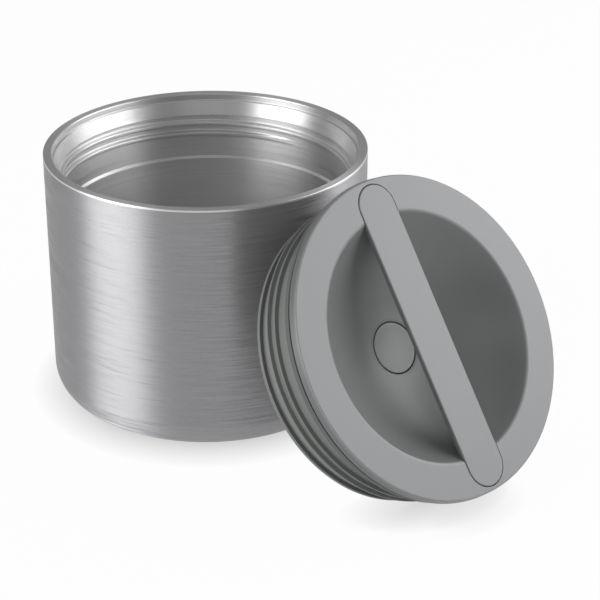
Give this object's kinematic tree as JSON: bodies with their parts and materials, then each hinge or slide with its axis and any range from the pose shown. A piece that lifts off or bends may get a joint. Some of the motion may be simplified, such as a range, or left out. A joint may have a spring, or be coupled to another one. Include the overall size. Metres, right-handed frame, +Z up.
{
  "type": "insulated food jar",
  "caption": "Double-walled steel food jar, open, with its grey screw-in plug lid leaning on it: dished top, straight carry bar and a push vent.",
  "frame": {"origin": "centre of the base, on the ground plane", "axes": "+Z up along the jar axis, out of the mouth; the lid leans at the front right, towards +X and -Y"},
  "size_m": [0.1764, 0.1769, 0.1015],
  "materials": {
    "brushed_steel": "fine brushing that runs round the jar",
    "polished_steel": "bright, rolled and electropolished",
    "plain_steel": "mill finish",
    "solder": "dull bead",
    "getter_metal": "sintered grey",
    "copper_foil": "thin copper foil",
    "grey_silicone": "soft matte silicone",
    "grey_plastic": "fine matte moulding, mid grey",
    "plug_plastic": "satin moulding, darker grey",
    "foam": "light closed-cell foam",
    "white_plastic": "plain moulding"
  },
  "bodies": {
    "jar": {"outer_wall": "brushed_steel", "base_plate": "plain_steel", "base_cover": "plain_steel", "vacuum_seal_bead": "solder", "getter_cup": "plain_steel", "getter_pellet": "getter_metal", "liner_neck": "polished_steel", "liner_bowl": "polished_steel", "reflective_foil": "copper_foil"},
    "seal": {"sealing_gasket": "grey_silicone"},
    "lid": {"lid_cover": "grey_plastic", "handle_bar": "grey_plastic", "bar_screws": "plain_steel", "lid_plug": "plug_plastic", "insulation_ring": "foam", "stem_bush": "white_plastic"},
    "vent": {"vent_button": "grey_plastic", "button_seal_ring": "grey_silicone", "vent_stem": "white_plastic", "vent_spring": "plain_steel", "valve_disc": "grey_silicone", "stem_clip": "plain_steel"}
  },
  "joints": [
    {"name": "lid_rise", "type": "slide", "parent": "jar", "child": "seal", "axis": [0.5869, -0.5931, 0.5512], "range_m": [0, 0.00667]},
    {"name": "lid_turn", "type": "hinge", "parent": "seal", "child": "lid", "pos_m": [0.07566, -0.07646, 0.05647], "axis": [0.5869, -0.5931, 0.5512], "range_deg": [0, 600]},
    {"name": "vent_press", "type": "slide", "parent": "lid", "child": "vent", "axis": [-0.5869, 0.5931, -0.5512], "range_m": [0, 0.0015], "stiffness_N_per_m": 400, "springref_m": -0.0015, "deforming": ["vent_spring"]}
  ],
  "couplings": [
    {"joint": "lid_rise", "follows": "lid_turn", "m_per_rad": 0.00063662}
  ]
}
